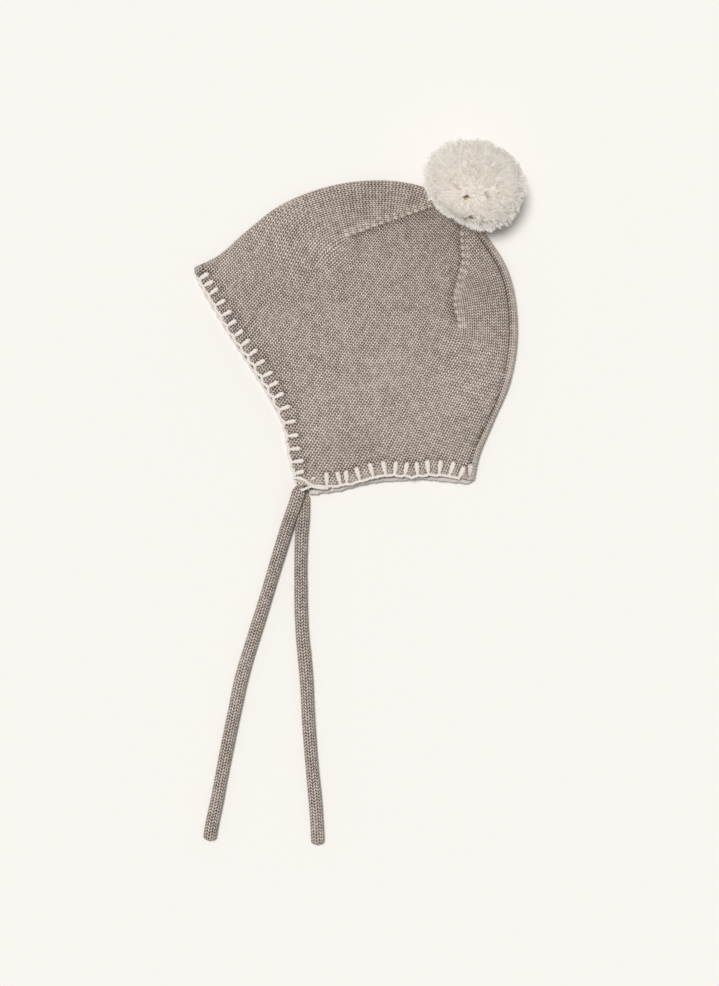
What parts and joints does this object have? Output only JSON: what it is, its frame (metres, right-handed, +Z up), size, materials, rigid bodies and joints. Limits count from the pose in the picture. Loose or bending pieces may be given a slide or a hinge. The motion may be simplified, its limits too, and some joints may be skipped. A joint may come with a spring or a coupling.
{
  "type": "baby beanie",
  "caption": "Fine-knit baby hat with pointed ear flaps, knitted ties, contrast yarn edging and a round pompom, lying folded flat on its side.",
  "frame": {"origin": "on the surface that the hat lies on, under the middle of the box of the hat and pompom without the two ties", "axes": "+X from the forehead fold to the nape seam, +Y from the face edge to the crown and pompom, +Z up from the surface"},
  "size_m": [0.2621, 0.4413, 0.055],
  "materials": {
    "knit_wool": "matte stockinette knit in a melange of taupe wool",
    "cream_yarn": "matte soft-spun cream wool yarn"
  },
  "bodies": {
    "root": {"knit_shell": "knit_wool", "pompom": "cream_yarn", "tie_upper": "knit_wool", "tie_lower": "knit_wool", "edge_yarn_face_upper": "cream_yarn", "edge_yarn_neck_upper": "cream_yarn", "edge_yarn_face_lower": "cream_yarn", "edge_yarn_neck_lower": "cream_yarn"}
  },
  "joints": []
}
